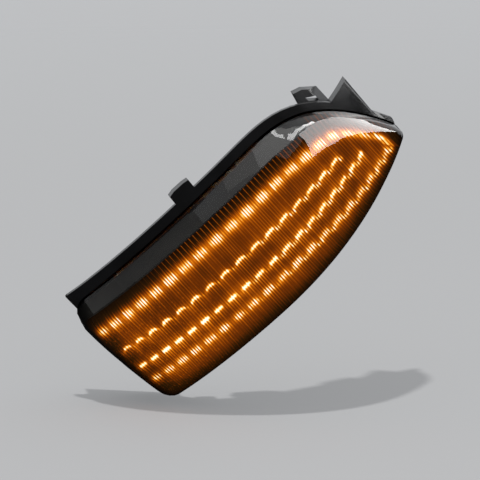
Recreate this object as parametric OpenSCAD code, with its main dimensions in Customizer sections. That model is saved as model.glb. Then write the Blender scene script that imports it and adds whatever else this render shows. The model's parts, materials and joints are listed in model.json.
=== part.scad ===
// Mirror turn signal lamp, right-hand, in millimetres.
// +X runs along the lamp to its tip, +Z is up, and the lens looks along -Y.
// The origin is midway between the two fixing screws, on the face that they clamp.
// Inside the modules the bow's axis is the Z axis, and depth is counted along +Y from the front of the lens.

/* [Bow and outline] */
// Radius of the bow, seen from above
bow_r = 85.5; // [82:0.5:96]
// From the bow's axis to the blunt end
blunt_x = 72.5; // [66:0.5:74]
// From the bow's axis to the tip
tip_x = 76; // [74:0.5:78]
// Height of the middle of the tip
tip_z = -21.2; // [-23:0.1:-19]
// Height of the lens at its tip
tip_h = 4.2; // [4:0.1:5]
// Corner radius at the tip
tip_round = 1.9; // [1.2:0.1:1.9]
// Height of the lens's top edge
top_z = 22.3; // [20:0.1:25]
// Height of the lens's bottom edge
low_z = -35.6; // [-38:0.1:-33]
// Where the top edge starts to fall to the tip
shoulder_x = 15; // [8:1:20]
// How sharply the top edge falls
shoulder_power = 3.45; // [3:0.05:4]
// Where the bottom edge starts to rise to the tip
heel_x = -10; // [-20:1:0]
// How sharply the bottom edge rises
heel_power = 2.2; // [2:0.1:3]
// How far the top edge has dropped at the blunt end
blunt_sag = 3.8; // [2:0.1:5]
// Corner radius at the blunt end
blunt_round = 4.5; // [3:0.5:6]
// How far the blunt end is drawn in at the top and the bottom
blunt_tuck = 5.7; // [0:0.1:7]
// Where the blunt end starts to be drawn in
tuck_x = 40; // [30:1:50]

/* [Lens] */
// Wall of the lens
lens_wall = 2.2; // [1.8:0.1:2.6]
// Depth of the lens's rim behind the front
seat_d = 13.5; // [12.5:0.5:15]
// Depth of the crease behind the front
crease_d = 3; // [2:0.1:4]
// Height of the clear band above the crease
clear_h = 7.8; // [6.5:0.1:9]
// Where the clear band starts to narrow
clear_full_x = 36; // [30:1:40]
// Where the clear band is narrow
clear_thin_x = 62; // [58:1:66]
// How far the lens's ends fall back, as a share of its depth
end_recess = 0.45; // [0.2:0.05:0.5]
// How far back the bottom edge is
heel_d = 9; // [8:0.5:10]
// How full the face is above the bottom edge, where 2 is an ellipse
heel_fullness = 2.8; // [2.4:0.1:3.2]
// Angle from one flute to the next
flute_step = 1.42; // [1.3:0.01:2]
// Height of a flute
flute_h = 0.6; // [0.3:0.05:0.7]

/* [Housing] */
// Depth of the housing's back behind the front
back_d = 27; // [26:0.5:30]
// Wall of the housing
tub_wall = 2.2; // [1.8:0.1:2.6]
// Height of the flange above the lens
flange_h = 4.4; // [3.5:0.1:5]
// Depth of the flange's front face
flange_d = 12.5; // [12:0.1:13]
// Thickness of the flange
flange_t = 3.5; // [3:0.1:4.5]
// Width of the ledge that the lens sits on
ledge_w = 3.8; // [3.4:0.1:4.4]
// Width of the dark groove round the lens
groove_w = 0.4; // [0.3:0.1:0.6]
// Thickness of the seal bead
seal_t = 0.8; // [0.6:0.1:1]
// Width of the seal bead
seal_w = 1.7; // [1.2:0.1:1.8]

/* [Snap tab] */
// Middle of the tab
tab_x = -6.5; // [-20:0.5:10]
// Width of the tab
tab_w = 10.2; // [8:0.1:12]
// How far the top of the tab leans towards the tip
tab_lean = 0.7; // [0:0.1:1.5]
// Height of the tab above the flange
tab_h = 4; // [3:0.1:5]
// Thickness of the tab
tab_t = 7.5; // [5:0.5:8]

/* [Corner bracket] */
// Near end of the bracket
hook_x = 53.2; // [50:0.1:55]
// Near side of the corner block
block_x = 61.5; // [60:0.1:63]
// Far side of the corner block
block_end_x = 73.6; // [72:0.1:75]
// Top of the corner block
block_z = 8.8; // [7:0.1:10]
// Thickness of the bridge above its slot
hook_t = 2.4; // [2:0.1:3]
// Height of the slot under the bridge
slot_h = 2.2; // [1.5:0.1:2.8]
// Depth of the bridge behind the flange's face
hook_d = 12; // [10:0.5:16]
// Depth of the corner block behind the flange's face
block_d = 10; // [8:0.5:14]
// Where the bridge's front starts to turn back to the block
hook_turn_x = 59.7; // [58:0.1:61]

/* [Light rows] */
// Drop of the first row below the crease
row_1_drop = 8.9; // [8:0.1:10]
// Height of the second row
row_2_z = -6.7; // [-8:0.1:-6]
// Height of the third row
row_3_z = -16.6; // [-17:0.1:-16]
// Height of the fourth row
row_4_z = -24.8; // [-25.2:0.1:-24.4]
// Distance from one light to the next
led_pitch = 8.1; // [7.5:0.1:10]
// Width of a light
led_w = 3.2; // [2.4:0.1:3.6]
// Height of a light
led_h = 2; // [1.6:0.1:2.4]
// Thickness of a light
led_t = 1; // [0.8:0.1:1.2]
// Depth of the carrier's front face
carrier_d = 7.4; // [7.2:0.1:8]
// Thickness of the carrier
carrier_t = 1.8; // [1.6:0.1:2]
// Radius of a light's pocket
pocket_r = 2.8; // [2.4:0.1:2.9]
// Height of a circuit strip
strip_h = 5; // [4:0.1:5.2]
// Thickness of a circuit strip
strip_t = 0.8; // [0.6:0.1:1]

/* [Driver board] */
// Width of the board
board_w = 44; // [40:1:46]
// Height of the board
board_h = 38; // [36:1:44]
// Clearance between the board and the housing below it
board_clear = 0.4; // [0.3:0.1:1]
// Thickness of the board
board_t = 1.6; // [1:0.1:2]
// Gap between the board and the inside of the back wall
board_gap = 4.3; // [3.5:0.1:5]
// Radius of a smoothing capacitor
cap_r = 3.1; // [2.5:0.1:3.2]
// Height of a smoothing capacitor
cap_h = 5; // [4:0.1:5.2]

/* [Socket] */
// Inside width of the socket
socket_w = 15; // [13:0.5:17]
// Inside height of the socket
socket_h = 8; // [7:0.5:10]
// Depth of the socket
socket_depth = 13; // [11:0.5:14]
// Wall of the socket
socket_wall = 1.6; // [1.3:0.1:2]
// Distance from one blade to the next
blade_pitch = 4; // [3:0.5:4.5]

/* [Fixings] */
// Distance between the fixing screws
fix_pitch = 60; // [56:1:64]
// Height of the fixing screws
fix_z = -10; // [-12:0.5:-6]
// Radius of a fixing screw's pilot hole
fix_bore_r = 1.7; // [1.5:0.1:2]
// Depth of a fixing screw's pilot hole
fix_bore_l = 9; // [8:0.5:10]
// Radius of a fixing boss
fix_boss_r = 4.2; // [3.6:0.1:5]
// How far the fixing face stands behind the middle of the back
fix_face = 12.5; // [11:0.5:14]
// Shank radius of the small inner screws
small_screw_r = 1; // [0.8:0.05:1.1]
// Distance between the carrier screws
carrier_screw_pitch = 82; // [78:1:84]

/* [Hidden] */
$fn = 48;
gap = 0.1;
BOW_FN = 240;
BIG = 200;

// Depths of the faces that pieces share
inner_back_d = back_d - 2.6;
ledge_d = seat_d + seal_t;
strip_bow_r = bow_r - carrier_t - gap;
fix_face_y = back_d - bow_r + fix_face;

// The share of the way from one place to another, raised to a power
function ramp(x, from, to, power) = x <= from ? 0 : pow((x - from) / (to - from), power);
// A smooth step from 0 to 1
function eased(share) = let (s = min(max(share, 0), 1)) s * s * (3 - 2 * s);
// What a round corner takes off, so far into the corner
function round_off(r, into) = into <= 0 ? 0 : r - sqrt(max(r * r - into * into, 0));
function corner(x) =
    round_off(blunt_round, blunt_round - (x + blunt_x)) + round_off(tip_round, tip_round - (tip_x - x));

// The bow in plan, at a depth behind the front
function bow_y(x, d) = d - sqrt(bow_r * bow_r - x * x);
function bow_cos(x) = sqrt(1 - pow(x / bow_r, 2));
function bow_angle(x) = asin(x / bow_r);

// Heights of the lens's edges as seen from the front
function root_z(x) =
    top_z - (top_z - tip_z - tip_h / 2) * ramp(x, shoulder_x, tip_x, shoulder_power)
    - blunt_sag * ramp(-x, -shoulder_x, blunt_x, 2) - corner(x);
function edge_z(x) = low_z + (tip_z - tip_h / 2 - low_z) * ramp(x, heel_x, tip_x, heel_power) + corner(x);
// The clear band narrows in two steps towards the tip, and a little towards the blunt end
function clear_gap(x) =
    clear_h * (1 - 0.72 * eased((x - clear_full_x) / (clear_thin_x - clear_full_x)) - 0.2 * ramp(x, tip_x - 10, tip_x, 2))
    - 0.022 * max(10 - x, 0);
function crease_z(x) = root_z(x) - clear_gap(x);
function clear_share(x) = min(1, clear_gap(x) / clear_h);
function bend_z(x) = crease_z(x) - lens_wall * root_slope(x) * (1 - 0.55 * clear_share(x));
function root_slope(x) = let (e = 0.05) sqrt(1 + pow((root_z(x) - root_z(x - e)) / e, 2));
function edge_slope(x) = let (e = 0.05) sqrt(1 + pow((edge_z(x) - edge_z(x - e)) / e, 2));
function rim_rise(x) = min(1.8, 0.15 * (root_z(x) - edge_z(x)));
function rim_z(x) = edge_z(x) + rim_rise(x);
function belly_z(x) = edge_z(x) + 0.66 * (crease_z(x) - edge_z(x));

// Seen from the front, the blunt end bulges at the crease and is drawn in above and below it
bulge_z = top_z - blunt_sag - blunt_round - clear_gap(-blunt_x);
function drawn_in(z) =
    blunt_tuck * (ramp(z - bulge_z, 0, top_z - bulge_z, 1.3) + ramp(bulge_z - z, 0, bulge_z - low_z, 1.6));
function tucked(x, z) = x + drawn_in(z) * eased((-x - tuck_x) / (blunt_x - tuck_x));
function tuck_point(x, z) = [tucked(x, z), z];

// Heights of the light rows
function edge_rise(x) = edge_z(x) - corner(x) - low_z;
function row_z(row, x) =
    row == 1 ? crease_z(x) + corner(x) - row_1_drop :
    row == 2 ? row_2_z :
    row == 3 ? row_3_z + 0.45 * edge_rise(x) :
    row_4_z + 0.5 * edge_rise(x);
row_start = [0, -blunt_x + 8.1, -blunt_x + 9.5, -blunt_x + 10.5, -blunt_x + 11.5];
row_end = [0, tip_x - 11, tip_x - 30, tip_x - 22, tip_x - 14];

// The next light lies one pitch further along the row's own curve
function row_speed(row, x) =
    let (e = 0.05)
    norm([e, bow_y(x + e, 0) - bow_y(x, 0), row_z(row, x + e) - row_z(row, x)]) / e;
function march(row, x, pitch) =
    x > row_end[row] ? [] : concat([x], march(row, x + pitch / row_speed(row, x), pitch));
function led_places(row) = march(row, row_start[row], led_pitch);

// A flat outline in X and Z, drawn out along Y
module along_y(from, to)
    translate([0, to, 0])
        rotate([90, 0, 0])
            linear_extrude(to - from)
                children();

module bow_solid(d, r = bow_r)
    translate([0, d, -BIG / 2])
        cylinder(r = r, h = BIG, $fn = BOW_FN);

// The part of an outline that lies between two depths, with faces that both follow the bow
module bowed(from, to)
    difference() {
        intersection() {
            along_y(-bow_r - 10, 60) children();
            bow_solid(from);
        }
        bow_solid(to);
    }

// A bent plate of even thickness, with its bow centred on the carrier's
module bent_plate(r, t)
    difference() {
        intersection() {
            along_y(-bow_r - 10, 0) children();
            bow_solid(carrier_d, r);
        }
        bow_solid(carrier_d, r - t);
    }

// A rod along Y from one place to another
module rod(x, z, from, to, r)
    translate([x, to, z])
        rotate([90, 0, 0])
            cylinder(r = r, h = to - from);

module block(x, z, from, to, w, h)
    translate([x - w / 2, from, z - h / 2])
        cube([w, to - from, h]);

// Outlines seen from the front
function span(from, to, n) = [for (i = [0:n]) from + (to - from) * i / n];
blunt_turns = [0:22.5:67.5];
tip_turns = [67.5:-22.5:22.5];
function blunt_station(a) = -blunt_x + blunt_round * (1 - cos(a));
function tip_station(a) = tip_x - tip_round * (1 - cos(a));
rim_end_x = tip_station(22.5);
outline_x = concat([for (a = blunt_turns) blunt_station(a)], span(-blunt_x + blunt_round, shoulder_x, 8),
                   [for (x = span(shoulder_x, tip_x - tip_round, 16)) if (x > shoulder_x) x],
                   [for (a = tip_turns) tip_station(a)]);

function reversed(list) = [for (i = [len(list) - 1:-1:0]) list[i]];

module rim_outline()
    polygon(concat([for (x = outline_x) tuck_point(x, root_z(x))],
                   [for (x = reversed(outline_x)) tuck_point(x, rim_z(x))]));

// The flange stands above the lens, narrows towards the tip and hides behind it below
flange_left = blunt_x - 3.1;
flange_end_x = tip_x + 0.7;
flange_round = 1;
function flange_z(x) =
    top_z + flange_h - (top_z - tip_z - 0.6) * ramp(x, shoulder_x, flange_end_x, shoulder_power)
    - (blunt_sag - 0.4) * ramp(-x, -shoulder_x, blunt_x, 2);
flange_x = concat(span(-flange_left + flange_round, shoulder_x, 6),
                  [for (x = span(shoulder_x, flange_end_x, 16)) if (x > shoulder_x) x]);

module flange_outline()
    polygon(concat([for (a = [0:30:60]) [-flange_left + flange_round * (1 - cos(a)),
                                         flange_z(-flange_left) - flange_round * (1 - sin(a))]],
                   [for (x = flange_x) [x, flange_z(x)]],
                   [[flange_end_x - 0.1, flange_z(flange_end_x) - 0.9], [flange_end_x - 1, tip_z + 1.7],
                    [rim_end_x - 1, rim_z(rim_end_x - 1) - 0.3]],
                   [for (x = reversed(outline_x)) if (x < rim_end_x - 2) tuck_point(x, rim_z(x))],
                   [tuck_point(-blunt_x, root_z(-blunt_x)), [-flange_left + 0.2, root_z(-blunt_x) + 2]]));

module tub_outline(inset)
    offset(delta = -inset) rim_outline();

function full(share) = pow(max(share, 0), 2 / heel_fullness);

// The lens: an outer and an inner skin of stations, stitched together round the rim
function outer_ring(x) =
    let (root = root_z(x), crease = crease_z(x), belly = belly_z(x), edge = edge_z(x))
    concat([[seat_d, root], [(seat_d + crease_d) / 2 - 0.4, (root + crease) / 2], [crease_d, crease]],
           [for (t = [0.75, 0.5, 0.25, 0]) [crease_d * t * t, belly + (crease - belly) * t]],
           [for (a = [15:15:90]) [heel_d * (1 - full(cos(a))), belly - (belly - edge) * full(sin(a))]],
           [[seat_d, rim_z(x)]]);

function inner_ring(x, flute) =
    let (root = root_z(x), edge = edge_z(x), share = clear_share(x),
         wall = lens_wall / bow_cos(x), rib = flute * flute_h / bow_cos(x),
         top = root - lens_wall * root_slope(x) * (1 + 0.25 * share),
         bend = bend_z(x),
         low = edge + lens_wall * edge_slope(x), belly = low + 0.66 * (bend - low))
    concat([[seat_d, top], [crease_d + wall, bend]],
           [for (t = [0.66, 0.33, 0]) [crease_d * t * t + wall + rib, belly + (bend - belly) * t]],
           [for (a = [22.5:22.5:90])
               [wall + (heel_d + 1 - wall) * (1 - full(cos(a))) + rib * (a < 80 ? 1 : 0),
                belly - (belly - low) * full(sin(a))]],
           [[seat_d, rim_z(x) + lens_wall * edge_slope(x)]]);

// A station folds back to the rim where its share of depth is below one
function station(ring, x, share) =
    [for (p = ring)
        let (at = tucked(x, p[1])) [at, bow_y(at, seat_d + (p[0] - seat_d) * share), p[1]]];
// The ends fall back to the rim in a round
function end_share(a) = 1 - end_recess * (1 - sin(a));

outer_stations = concat(
    [for (a = blunt_turns) [blunt_station(a), end_share(a)]],
    [for (a = span(bow_angle(-blunt_x + blunt_round), bow_angle(tip_x - tip_round), 40)) [bow_r * sin(a), 1]],
    [for (a = tip_turns) [tip_station(a), end_share(a)]]);

inner_start = bow_angle(-blunt_x + lens_wall + 0.9);
inner_end = bow_angle(tip_x - 2 * lens_wall + 0.4);
flute_count = floor((inner_end - inner_start) / flute_step);
inner_stations = concat(
    [[-blunt_x + lens_wall, 0.8, 0]],
    [for (k = [0:2 * flute_count])
        [bow_r * sin(inner_start + (inner_end - inner_start) * k / (2 * flute_count)), 1, k % 2]],
    [[tip_x - 2 * lens_wall + 0.7, 0.7, 0]]);

outer_skin = [for (s = outer_stations) station(outer_ring(s[0]), s[0], s[1])];
inner_skin = [for (s = inner_stations) station(inner_ring(s[0], s[2]), s[0], s[1])];

function flat(list) = [for (part = list) for (item = part) item];
function skin_faces(rows, cols, first, turn) =
    [for (i = [0:rows - 2]) for (j = [0:cols - 2])
        let (a = first + i * cols + j, b = a + 1, c = a + cols, d = c + 1)
        each turn ? [[a, b, c], [b, d, c]] : [[a, c, b], [b, c, d]]];
// Two edges with any number of points are joined by one strip of triangles.
// Point i of the first edge faces point stops[i] of the second.
function zip_faces(one, two, stops) =
    [for (i = [0:len(one) - 2])
        each concat([[one[i], one[i + 1], two[stops[i + 1]]]],
                    [for (k = [stops[i]:1:stops[i + 1] - 1]) [one[i], two[k + 1], two[k]]])];
function stops_by_x(outer, inner) =
    [for (i = [0:len(outer) - 1])
        i == 0 ? 0 : i == len(outer) - 1 ? len(inner) - 1 :
        max(0, len([for (s = inner) if (s[0] <= outer[i][0]) s]) - 1)];
function swapped(faces) = [for (f = faces) [f[0], f[2], f[1]]];
// A flat end wall is a fan from the first point of its ring
function fan_faces(first, cols) = [for (j = [1:cols - 2]) [first, first + j, first + j + 1]];

module lens_shell() {
    m = len(outer_skin);
    cols = len(outer_skin[0]);
    n = len(inner_skin);
    inner_cols = len(inner_skin[0]);
    first = m * cols;
    outer_end = (m - 1) * cols;
    inner_end_wall = first + (n - 1) * inner_cols;
    outer_top = [for (i = [0:m - 1]) i * cols];
    outer_low = [for (i = [0:m - 1]) i * cols + cols - 1];
    inner_top = [for (i = [0:n - 1]) first + i * inner_cols];
    inner_low = [for (i = [0:n - 1]) first + i * inner_cols + inner_cols - 1];
    along = stops_by_x(outer_stations, inner_stations);
    polyhedron(flat(concat(outer_skin, inner_skin)),
               concat(skin_faces(m, cols, 0, false), skin_faces(n, inner_cols, first, true),
                      fan_faces(0, cols), swapped(fan_faces(outer_end, cols)),
                      swapped(fan_faces(first, inner_cols)), fan_faces(inner_end_wall, inner_cols),
                      swapped(zip_faces(outer_top, inner_top, along)), zip_faces(outer_low, inner_low, along),
                      [[inner_top[0], outer_top[0], outer_low[0]], [inner_top[0], outer_low[0], inner_low[0]],
                       [outer_top[m - 1], inner_top[n - 1], inner_low[n - 1]],
                       [outer_top[m - 1], inner_low[n - 1], outer_low[m - 1]]]));
}

module outer_lens()
    color([0.36, 0.2, 0.08, 0.6])
        lens_shell();

module lens_seal()
    color([0.05, 0.05, 0.05])
        bowed(seat_d + 2 * gap, ledge_d - gap / 2)
            difference() {
                tub_outline(0.3);
                tub_outline(0.3 + seal_w);
            }

// The carrier: a bent plate with a pocket for each light and a wall round its edge
carrier_left = blunt_x - lens_wall - 1.1;
carrier_end = tip_x - 2 * lens_wall - 2.6;
carrier_clear = 0.5;
function carrier_top(x) = bend_z(x) + corner(x) - carrier_clear * root_slope(x);
function carrier_low(x) = edge_z(x) - corner(x) + 4.7 - 0.02 * x;
carrier_x = concat(span(-carrier_left, shoulder_x, 6),
                   [for (x = span(shoulder_x, carrier_end, 12)) if (x > shoulder_x) x]);

module carrier_outline()
    polygon(concat([for (x = carrier_x) tuck_point(x, carrier_top(x))],
                   [for (x = reversed(carrier_x)) tuck_point(x, carrier_low(x))]));

// A pocket is an arch, seen from the front, with its foot just below the light
module pocket(x, z)
    translate([x, z - 0.4])
        intersection() {
            circle(r = pocket_r);
            translate([-pocket_r, -led_h / 2 - 0.5])
                square([2 * pocket_r, 2 * pocket_r]);
        }

carrier_screw_x = [-carrier_screw_pitch / 2, carrier_screw_pitch / 2];
function carrier_screw_z(x) = (row_z(1, x) + row_2_z) / 2;
carrier_boss_r = 2.8;
carrier_boss_l = 7;
screw_head_r = 1.8;
screw_head_t = 1.2;
screw_seat = 3;
carrier_rim_t = 0.8;

module carrier_plate()
    bent_plate(bow_r, carrier_t)
        difference() {
            carrier_outline();
            for (row = [1:4])
                for (x = led_places(row))
                    pocket(x, row_z(row, x));
        }

module led_carrier()
    color([0.16, 0.1, 0.05])
        difference() {
            union() {
                carrier_plate();
                bowed(carrier_d, ledge_d - gap)
                    intersection() {
                        tub_outline(lens_wall + carrier_clear);
                        difference() {
                            carrier_outline();
                            offset(delta = -carrier_rim_t) carrier_outline();
                        }
                    }
                for (x = carrier_screw_x)
                    rod(x, carrier_screw_z(x), bow_y(x, carrier_d) + 2, bow_y(x, carrier_d) + carrier_boss_l,
                        carrier_boss_r);
            }
            for (x = carrier_screw_x) {
                rod(x, carrier_screw_z(x), bow_y(x, 0), bow_y(x, carrier_d) + screw_seat, screw_head_r + 0.3);
                rod(x, carrier_screw_z(x), bow_y(x, 0), bow_y(x, carrier_d) + 20, small_screw_r + 0.2);
            }
        }

// Circuit strips behind the carrier, with the lights in the pockets
function strip_x(row) = span(row_start[row] - 2.4, row_end[row] + 1, 24);
function row_normal(row, x) =
    let (e = 0.05, rise = row_z(row, x + e) - row_z(row, x), l = norm([e, rise])) [-rise / l, e / l];
function strip_edge(row, side) =
    [for (x = strip_x(row)) [x, row_z(row, x)] + side * strip_h / 2 * row_normal(row, x)];

pin_x = 1.27;
pin_r = 0.32;

module strip(row)
    color([0.08, 0.2, 0.12])
        bent_plate(strip_bow_r, strip_t)
            difference() {
                intersection() {
                    polygon(concat(strip_edge(row, 1), reversed(strip_edge(row, -1))));
                    offset(delta = -carrier_rim_t - 2 * gap) carrier_outline();
                }
                for (side = [-1, 1])
                    translate([side * pin_x, row_z(row, 0)])
                        circle(r = pin_r + gap);
            }

// A small part that sits on the front face of a strip, square to the bow
function strip_y(x) = carrier_d - sqrt(strip_bow_r * strip_bow_r - x * x);
module on_strip(x, z)
    translate([x, strip_y(x), z])
        rotate([0, 0, asin(x / strip_bow_r)])
            children();

module led_package()
    difference() {
        translate([-led_w / 2, -led_t, -led_h / 2])
            cube([led_w, led_t, led_h]);
        translate([0, -led_t + 0.35, 0])
            rotate([90, 0, 0])
                cylinder(r = led_h * 0.34, h = 2, $fn = 24);
    }

module led_row(row)
    color([1, 0.62, 0.15])
        for (x = led_places(row))
            on_strip(x, row_z(row, x))
                translate([0, -0.02, 0])
                    led_package();

module led_strip_1() strip(1);
module led_strip_2() strip(2);
module led_strip_3() strip(3);
module led_strip_4() strip(4);
module led_row_1() led_row(1);
module led_row_2() led_row(2);
module led_row_3() led_row(3);
module led_row_4() led_row(4);

// Series resistors on the back of the strips, one to each three lights.
// They sit between two lights, but never closer to the middle than the pins leave room.
resistor_w = 1.6;
pin_room = pin_x + pin_r + resistor_w / 2 + 4 * gap;
function beside_pins(x) = abs(x) < pin_room ? (x < 0 ? -pin_room : pin_room) : x;

module strip_resistors()
    color([0.1, 0.1, 0.1])
        for (row = [2:4]) {
            places = led_places(row);
            for (i = [1:3:len(places) - 2]) {
                x = beside_pins((places[i] + places[i + 1]) / 2);
                on_strip(x, row_z(row, x))
                    translate([-resistor_w / 2, strip_t + 0.06, -resistor_w / 4])
                        cube([resistor_w, 0.5, resistor_w / 2]);
            }
        }

// Driver board and its parts
board_back_y = bow_y(0, inner_back_d) - board_gap;
board_front_y = board_back_y - board_t;
board_z = rim_z(board_w / 2) + ledge_w + board_clear + board_h / 2;
board_screw_at = [[-board_w / 2 + 3.5, board_z + board_h / 2 - 3.5], [board_w / 2 - 3.5, board_z - board_h / 2 + 3.5]];
socket_z = board_z + 4;
blade_w = 1.5;
blade_t = 0.64;
blade_at = [-blade_pitch, 0, blade_pitch];

module driver_board()
    color([0.05, 0.3, 0.15])
        along_y(board_front_y, board_back_y)
            difference() {
                translate([-board_w / 2, board_z - board_h / 2])
                    square([board_w, board_h]);
                for (row = [1:4])
                    for (side = [-1, 1])
                        translate([side * pin_x, row_z(row, 0)])
                            circle(r = pin_r + gap);
                for (at = board_screw_at)
                    translate(at)
                        circle(r = small_screw_r + 0.2);
                for (x = blade_at)
                    translate([x - blade_w / 2 - gap, socket_z - blade_t / 2 - gap])
                        square([blade_w + 2 * gap, blade_t + 2 * gap]);
            }

module strip_pins()
    color([0.8, 0.68, 0.3])
        for (row = [1:4])
            for (side = [-1, 1])
                rod(side * pin_x, row_z(row, 0), strip_y(pin_x) + gap, board_back_y + 0.8, pin_r);

module driver_chip()
    color([0.06, 0.06, 0.06])
        block(-board_w / 2 + 11, board_z - 2, board_front_y - 1.6, board_front_y, 5, 6);

module protection_diode()
    color([0.07, 0.07, 0.07])
        block(board_w / 2 - 11.5, board_z - board_h / 2 + 9, board_front_y - 2.2, board_front_y, 4.4, 3.6);

module capacitors()
    color([0.7, 0.7, 0.72])
        for (z = [board_z + board_h / 2 - 8, board_z - 1])
            rod(board_w / 2 - 10, z, board_front_y - cap_h, board_front_y, cap_r);

module resistors()
    color([0.1, 0.1, 0.1])
        for (row = [0:1])
            for (i = [0:3])
                block(-board_w / 2 + 6 + 3 * i, board_z - board_h / 2 + 10 - 4 * row,
                      board_front_y - 0.6, board_front_y, resistor_w, 2 * resistor_w);

// Socket, screws and vent
shroud_floor_y = fix_face_y + 2 - socket_depth;
shroud_end_y = fix_face_y + 2;
rib_t = 1.4;
blade_set_back = 5;
board_screw_l = 5;
carrier_screw_bite = 5;
fix_x = [-fix_pitch / 2, fix_pitch / 2];
vent_x = -blunt_x + 22.5;
vent_z = -12;
vent_r = 6;
vent_end_y = bow_y(vent_x, back_d) + 5;
patch_t = 0.5;

module rounded(w, h, r)
    offset(r = r) square([w - 2 * r, h - 2 * r], center = true);

module connector_pins()
    color([0.75, 0.72, 0.6])
        for (x = blade_at)
            block(x, socket_z, board_front_y - 0.4, shroud_end_y - blade_set_back, blade_w, blade_t);

module connector_seal()
    color([0.5, 0.16, 0.1])
        along_y(fix_face_y - 4.5, fix_face_y - 2)
            translate([0, socket_z])
                difference() {
                    rounded(socket_w + 2 * socket_wall + 2.4, socket_h + 2 * socket_wall + 2.4, 2.6);
                    rounded(socket_w + 2 * socket_wall + 2 * gap, socket_h + 2 * socket_wall + 2 * gap, 1.6);
                }

module small_screw(x, z, seat_y, l)
    union() {
        rod(x, z, seat_y - screw_head_t, seat_y, screw_head_r);
        rod(x, z, seat_y - 0.2, seat_y + l, small_screw_r - gap);
    }

module board_screws()
    color([0.7, 0.7, 0.72])
        for (at = board_screw_at)
            small_screw(at[0], at[1], board_front_y - gap / 2, board_screw_l);

module carrier_screws()
    color([0.25, 0.2, 0.15])
        for (x = carrier_screw_x)
            small_screw(x, carrier_screw_z(x), bow_y(x, carrier_d) + screw_seat - gap / 2,
                        carrier_boss_l - screw_seat + carrier_screw_bite);

module vent_patch()
    color([0.85, 0.85, 0.86])
        rod(vent_x, vent_z, vent_end_y - patch_t, vent_end_y, vent_r - 1.1);

// The bracket: a bridge over a slot, ending in a corner block with a level top
function over_flange(x, rise) = [x, flange_z(x) + rise];
bridge_rise = slot_h + hook_t + 0.4;

module bridge_outline()
    polygon([[hook_x - 0.6, flange_z(hook_x) - 1], over_flange(hook_x, 1.2), over_flange(hook_x + 0.8, bridge_rise),
             over_flange(hook_x + 4.6, bridge_rise + 1.6), over_flange(block_x + 2.6, bridge_rise + 2.6),
             [block_x + 3, block_z - 6], [block_x, flange_z(block_x) - 2]]);

module slot_outline()
    polygon([over_flange(hook_x + 3.4, 0.5), over_flange(hook_x + 3.4, slot_h),
             over_flange(block_x - 1.4, slot_h + 0.8), over_flange(block_x - 1.4, 0.5)]);

module block_outline()
    polygon([[block_x, block_z], [block_end_x, block_z + 0.4], [block_end_x - 0.9, flange_z(block_end_x - 0.9) - 1],
             [block_x + 6, flange_z(block_x + 6) - 1.6],
             [block_x, min(flange_z(block_x) - 1.6, block_z - 3)]]);

// The corner block is cored from behind, with the housing's wall left all round.
// Beside the block the bridge turns back in a steep facet.
hook_turn = 75;

module bracket() {
    bridge_d = flange_d + flange_t - 0.5;
    difference() {
        bowed(flange_d, flange_d + block_d) block_outline();
        bowed(flange_d + flange_t, flange_d + block_d + 1) offset(delta = -tub_wall) block_outline();
    }
    difference() {
        bowed(bridge_d, flange_d + hook_d)
            difference() {
                bridge_outline();
                slot_outline();
            }
        translate([hook_turn_x, bow_y(hook_turn_x, bridge_d), -BIG / 2])
            rotate([0, 0, hook_turn])
                translate([0, -BIG, 0])
                    cube(BIG);
    }
}

module snap_tab() {
    top = flange_z(tab_x) + tab_h;
    foot = top_z - ledge_w + 1;
    left = tab_x - tab_w / 2;
    right = tab_x + tab_w / 2;
    bowed(flange_d, flange_d + tab_t)
        polygon([[left, foot], [left + tab_lean, top - 0.3], [left + tab_lean + tab_w / 4, top + 0.3],
                 [right + tab_lean - tab_w / 4, top + 0.3], [right + tab_lean, top - 0.1], [right, foot]]);
}

module housing_body()
    union() {
        bowed(flange_d, flange_d + flange_t) flange_outline();
        bowed(flange_d + 1, back_d) tub_outline(ledge_w - tub_wall);
        bracket();
        snap_tab();
        for (x = fix_x)
            rod(x, fix_z, bow_y(x, back_d) - 3, fix_face_y, fix_boss_r);
        rod(vent_x, vent_z, bow_y(vent_x, back_d) - 2, vent_end_y, vent_r);
        along_y(bow_y(0, back_d) - 1, shroud_end_y)
            translate([0, socket_z])
                rounded(socket_w + 2 * socket_wall, socket_h + 2 * socket_wall, 1.8);
        bowed(back_d - 1, back_d + 1.6)
            intersection() {
                tub_outline(ledge_w + 1);
                union() {
                    for (x = [-blunt_x + 10.5, -blunt_x + 32.5, -18, 18, tip_x - 34, tip_x - 20])
                        translate([x - rib_t / 2, low_z])
                            square([rib_t, BIG]);
                    for (z = [low_z + 9.6, top_z - 14.3])
                        translate([-blunt_x, z - rib_t / 2])
                            square([BIG, rib_t]);
                }
            }
    }

module housing_inner_posts() {
    for (x = carrier_screw_x)
        rod(x, carrier_screw_z(x), bow_y(x, carrier_d) + carrier_boss_l + gap, bow_y(x, back_d) - 0.5, carrier_boss_r);
    for (at = board_screw_at)
        rod(at[0], at[1], board_back_y + gap / 2, bow_y(at[0], back_d) - 0.5, 2.6);
    for (x = fix_x)
        rod(x, fix_z, fix_face_y - fix_bore_l - 1.6, bow_y(x, back_d), fix_boss_r);
}

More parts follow.
